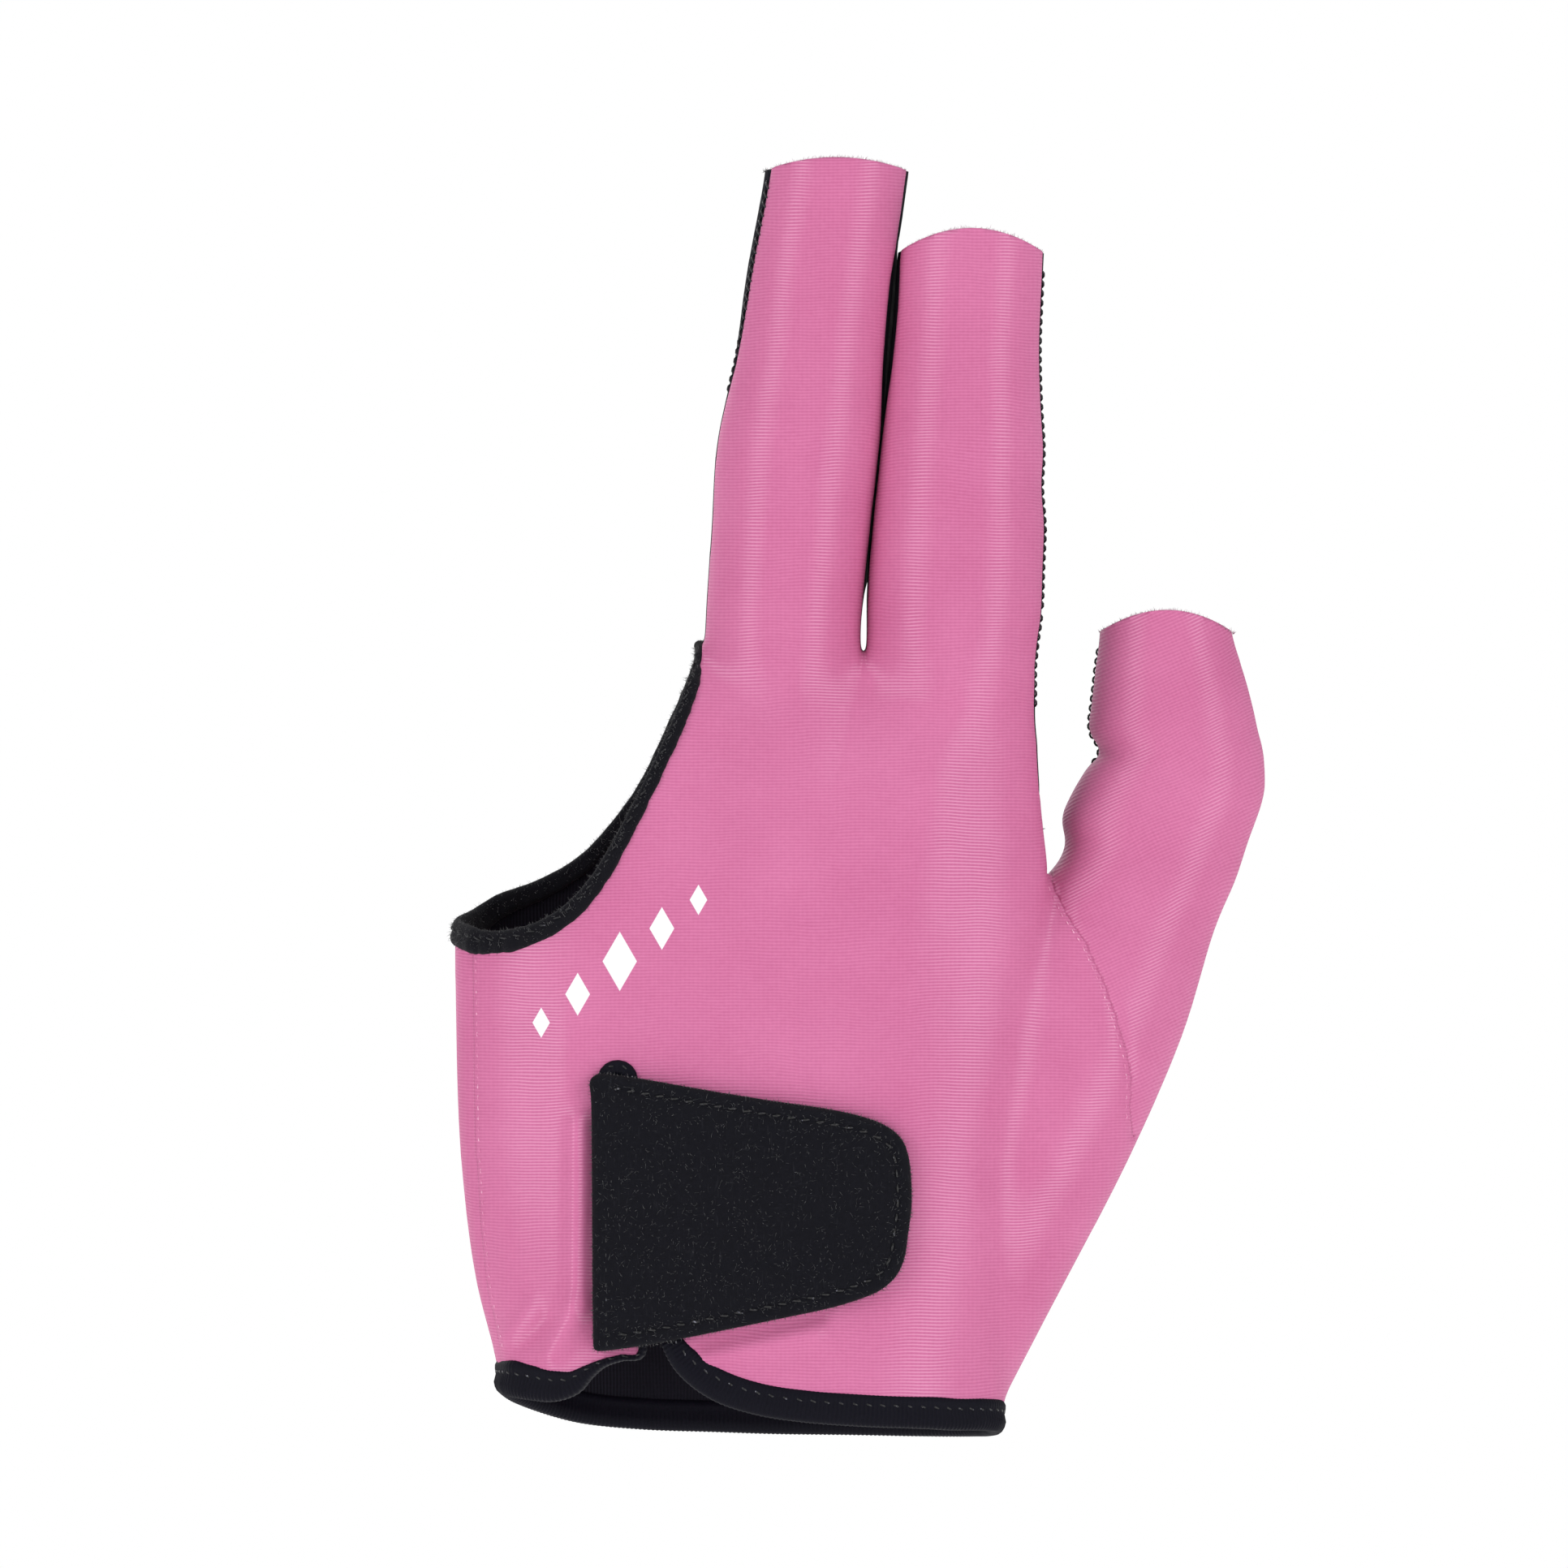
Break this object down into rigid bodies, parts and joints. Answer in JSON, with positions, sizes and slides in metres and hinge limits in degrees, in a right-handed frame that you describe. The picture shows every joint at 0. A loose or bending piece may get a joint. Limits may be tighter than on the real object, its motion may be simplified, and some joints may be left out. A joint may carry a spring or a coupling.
{
  "type": "billiard glove",
  "caption": "Billiard glove of stretch knit for the bridge hand: open finger tips, a bound opening that leaves the outer fingers free, and a felt closure tab over a wrist slit.",
  "frame": {"origin": "middle of the wrist's mouth, level with the lowest point of its hem", "axes": "+Z along the hand towards the finger tips, -Y out of the back of the hand, +X towards the thumb"},
  "size_m": [0.1161, 0.0419, 0.1831],
  "materials": {
    "pink_knit": "soft satin warp knit with fine cross ribs",
    "black_knit": "matt stretch knit",
    "black_binding": "ribbed elastic tape",
    "black_felt": "matt brushed loop felt"
  },
  "bodies": {
    "root": {"back_panel": "pink_knit", "thumb_panel": "pink_knit", "side_panel": "pink_knit", "palm_panel": "black_knit", "finger_opening_binding": "black_binding", "wrist_binding": "black_binding", "closure_tab": "black_felt"}
  },
  "joints": []
}
